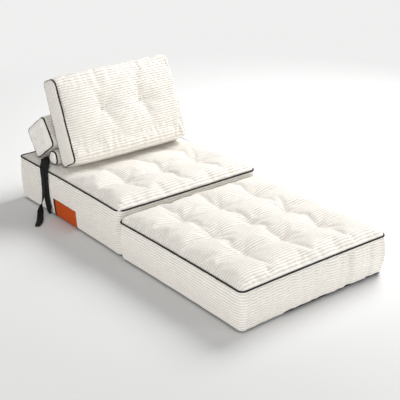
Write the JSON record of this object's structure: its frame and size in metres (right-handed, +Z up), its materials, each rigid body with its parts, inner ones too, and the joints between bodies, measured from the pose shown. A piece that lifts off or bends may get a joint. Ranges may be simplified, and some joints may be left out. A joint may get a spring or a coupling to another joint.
{
  "type": "folding sofa bed",
  "caption": "Folding corduroy sofa bed laid flat: tufted seat and foot blocks on a cloth hinge, a loose back pillow, a bolster, a roll and tie straps.",
  "frame": {"origin": "middle of the whole bed's footprint, at floor level", "axes": "+X across the bed to the sitter's left, +Y from the foot end to the back cushions, +Z up"},
  "size_m": [1.04, 1.9184, 0.7444],
  "materials": {
    "corduroy": "wide-wale corduroy",
    "piping": "woven piping",
    "base_cloth": "plain weave",
    "foam": "open cell",
    "webbing": "flat webbing",
    "patch": "plain woven",
    "zip_tape": "woven tape with a plastic coil",
    "zip_metal": "satin",
    "twine": "waxed twine"
  },
  "bodies": {
    "seat": {"seat_top_panel": "corduroy", "seat_boxing": "corduroy", "seat_core": "foam", "seat_piping": "piping", "seat_tuft_ties": "twine", "seat_base_cloth": "base_cloth", "seat_hinge_flap": "base_cloth", "seat_zip_tape": "zip_tape", "seat_side_patch": "patch", "seat_patch_binding": "piping", "strap_anchor": "webbing", "strap_tail_long": "webbing", "strap_tail_short": "webbing"},
    "foot": {"foot_top_panel": "corduroy", "foot_boxing": "corduroy", "foot_core": "foam", "foot_piping": "piping", "foot_tuft_ties": "twine", "foot_base_cloth": "base_cloth", "foot_hinge_flap": "base_cloth", "foot_zip_tape": "zip_tape"},
    "pillow": {"pillow_cover": "corduroy", "pillow_filling": "foam", "pillow_end_left": "corduroy", "pillow_end_right": "corduroy", "pillow_piping": "piping", "pillow_zip_tape": "zip_tape", "pillow_tuft_ties": "twine"},
    "bolster": {"bolster_cover": "corduroy", "bolster_core": "foam", "bolster_end_left": "corduroy", "bolster_end_right": "corduroy", "bolster_piping": "piping", "bolster_zip_tape": "zip_tape"},
    "roll": {"roll_cover": "corduroy", "roll_core": "foam", "roll_end_left": "corduroy", "roll_end_right": "corduroy", "roll_piping": "piping"},
    "seat_slider": {"seat_zip_slider": "zip_metal"},
    "foot_slider": {"foot_zip_slider": "zip_metal"},
    "pillow_slider": {"pillow_zip_slider": "zip_metal"},
    "bolster_slider": {"bolster_zip_slider": "zip_metal"}
  },
  "joints": [
    {"name": "foot_fold", "type": "hinge", "parent": "seat", "child": "foot", "pos_m": [0, -0.032, 0], "axis": [1, 0, 0], "range_deg": [0, 180]},
    {"name": "pillow_lift", "type": "slide", "parent": "seat", "child": "pillow", "axis": [0, 0, 1], "range_m": [0, 0.45]},
    {"name": "bolster_lift", "type": "slide", "parent": "seat", "child": "bolster", "axis": [0, 0.5, 0.866], "range_m": [0, 0.35]},
    {"name": "roll_slide", "type": "slide", "parent": "seat", "child": "roll", "axis": [1, 0, 0], "range_m": [0, 0.8]},
    {"name": "seat_zip", "type": "slide", "parent": "seat", "child": "seat_slider", "axis": [1, 0, 0], "range_m": [0, 0.56]},
    {"name": "foot_zip", "type": "slide", "parent": "foot", "child": "foot_slider", "axis": [0, -1, 0], "range_m": [0, 0.56]},
    {"name": "pillow_zip", "type": "slide", "parent": "pillow", "child": "pillow_slider", "axis": [1, 0, 0], "range_m": [0, 0.46]},
    {"name": "bolster_zip", "type": "slide", "parent": "bolster", "child": "bolster_slider", "axis": [1, 0, 0], "range_m": [0, 0.46]}
  ]
}
